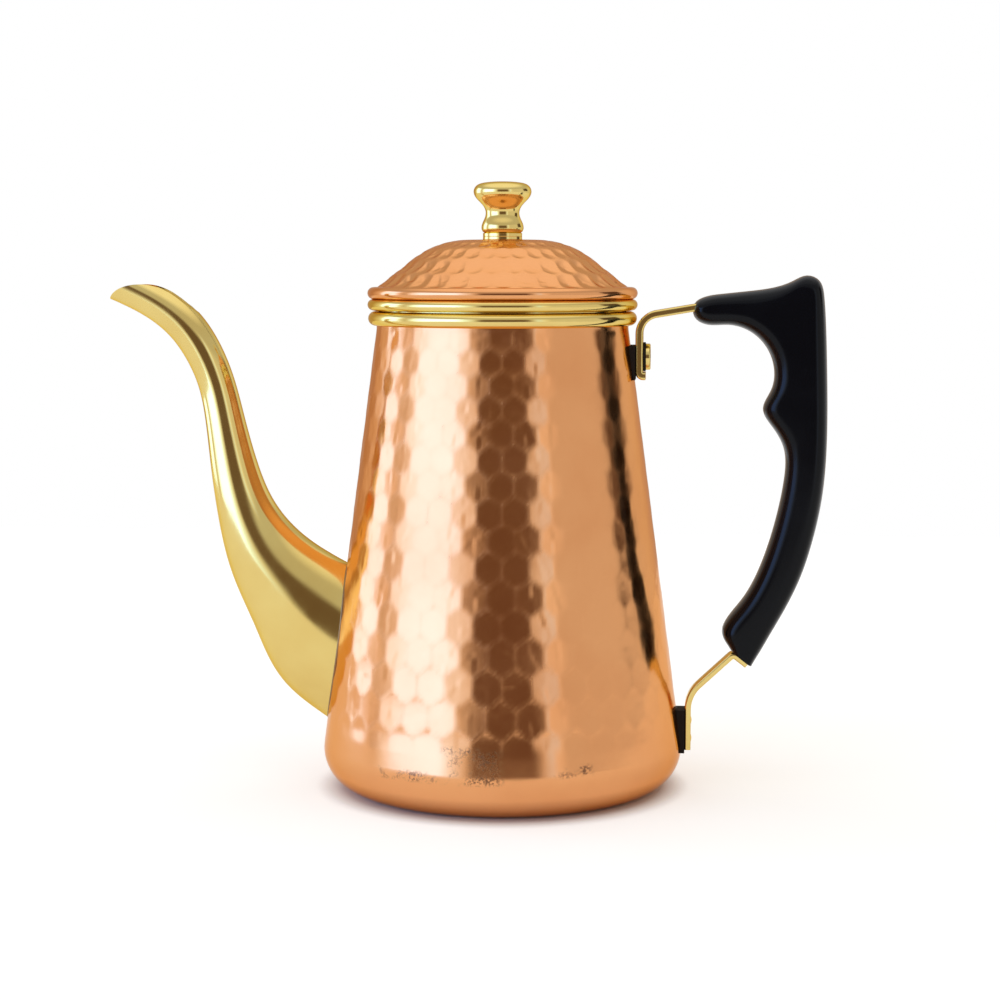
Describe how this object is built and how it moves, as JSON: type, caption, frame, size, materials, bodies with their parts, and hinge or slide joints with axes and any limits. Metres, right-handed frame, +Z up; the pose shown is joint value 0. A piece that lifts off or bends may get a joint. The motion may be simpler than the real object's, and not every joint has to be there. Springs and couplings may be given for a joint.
{
  "type": "goose-neck kettle with a lift-off lid",
  "caption": "Hammered copper drip kettle with a tapered pot, long brass goose-neck spout, domed lift-off lid with a turned knob, and a black grip on brass straps.",
  "frame": {"origin": "on the pot's axis, in the plane that the pot stands on", "axes": "+Z up along the pot's axis, +X to the grip, -X to the spout, the pot is alike on both sides of the XZ plane"},
  "size_m": [0.255, 0.1278, 0.2144],
  "materials": {
    "hammered_copper": "hammered and polished, tinned silver inside",
    "copper": "polished",
    "brass": "polished",
    "steel": "plain",
    "dark_rubber": "matte",
    "black_phenolic": "gloss"
  },
  "bodies": {
    "pot": {"body_shell": "hammered_copper", "base_plate": "copper", "rim_bead": "brass", "rim_wire": "steel", "spout": "brass", "upper_bracket": "brass", "upper_pad": "dark_rubber", "upper_washer": "dark_rubber", "upper_screw": "brass", "upper_seal": "dark_rubber", "upper_nut": "steel", "lower_bracket": "brass", "lower_pad": "dark_rubber", "lower_rivets": "brass", "grip": "black_phenolic", "grip_insert": "brass", "grip_screw": "steel"},
    "lid_carrier": {"lid_wire": "steel"},
    "lid": {"lid_dome": "hammered_copper", "lid_collar": "brass", "knob": "brass", "knob_ring": "brass", "knob_screw": "steel", "knob_washer": "steel"}
  },
  "joints": [
    {"name": "lid_lift", "type": "slide", "parent": "pot", "child": "lid_carrier", "axis": [0, 0, 1], "range_m": [0, 0.06]},
    {"name": "lid_turn", "type": "hinge", "parent": "lid_carrier", "child": "lid", "pos_m": [0, 0, 0.1755], "axis": [0, 0, 1], "continuous": true}
  ]
}
